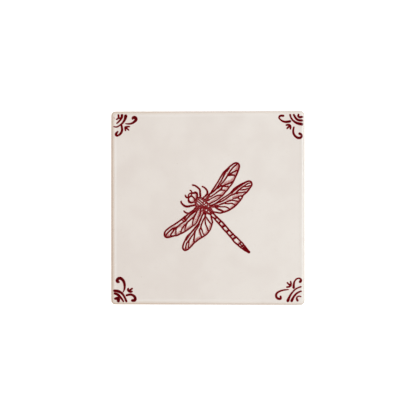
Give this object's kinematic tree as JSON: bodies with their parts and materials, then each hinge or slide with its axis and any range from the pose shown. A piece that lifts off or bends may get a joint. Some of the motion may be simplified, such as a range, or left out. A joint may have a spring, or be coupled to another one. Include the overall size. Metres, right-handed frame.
{
  "type": "hand-painted glazed wall tile",
  "caption": "Square earthenware wall tile with a cream glaze, a dragonfly painted in dark crimson on its face, scroll ornaments in the corners and a keyed back.",
  "frame": {"origin": "middle of the back, on the plane that the back's ribs lie in", "axes": "+Z out of the painted face, +X to the picture's right, +Y to the picture's top"},
  "size_m": [0.13, 0.13, 0.008],
  "materials": {
    "fired_clay": "unglazed earthenware, matt and slightly gritty",
    "cream_glaze": "glossy opaque cream glaze",
    "crimson_paint": "ceramic colour brushed on the glaze and fired into it"
  },
  "bodies": {
    "root": {"clay_body": "fired_clay", "glaze_coat": "cream_glaze"}
  },
  "joints": []
}
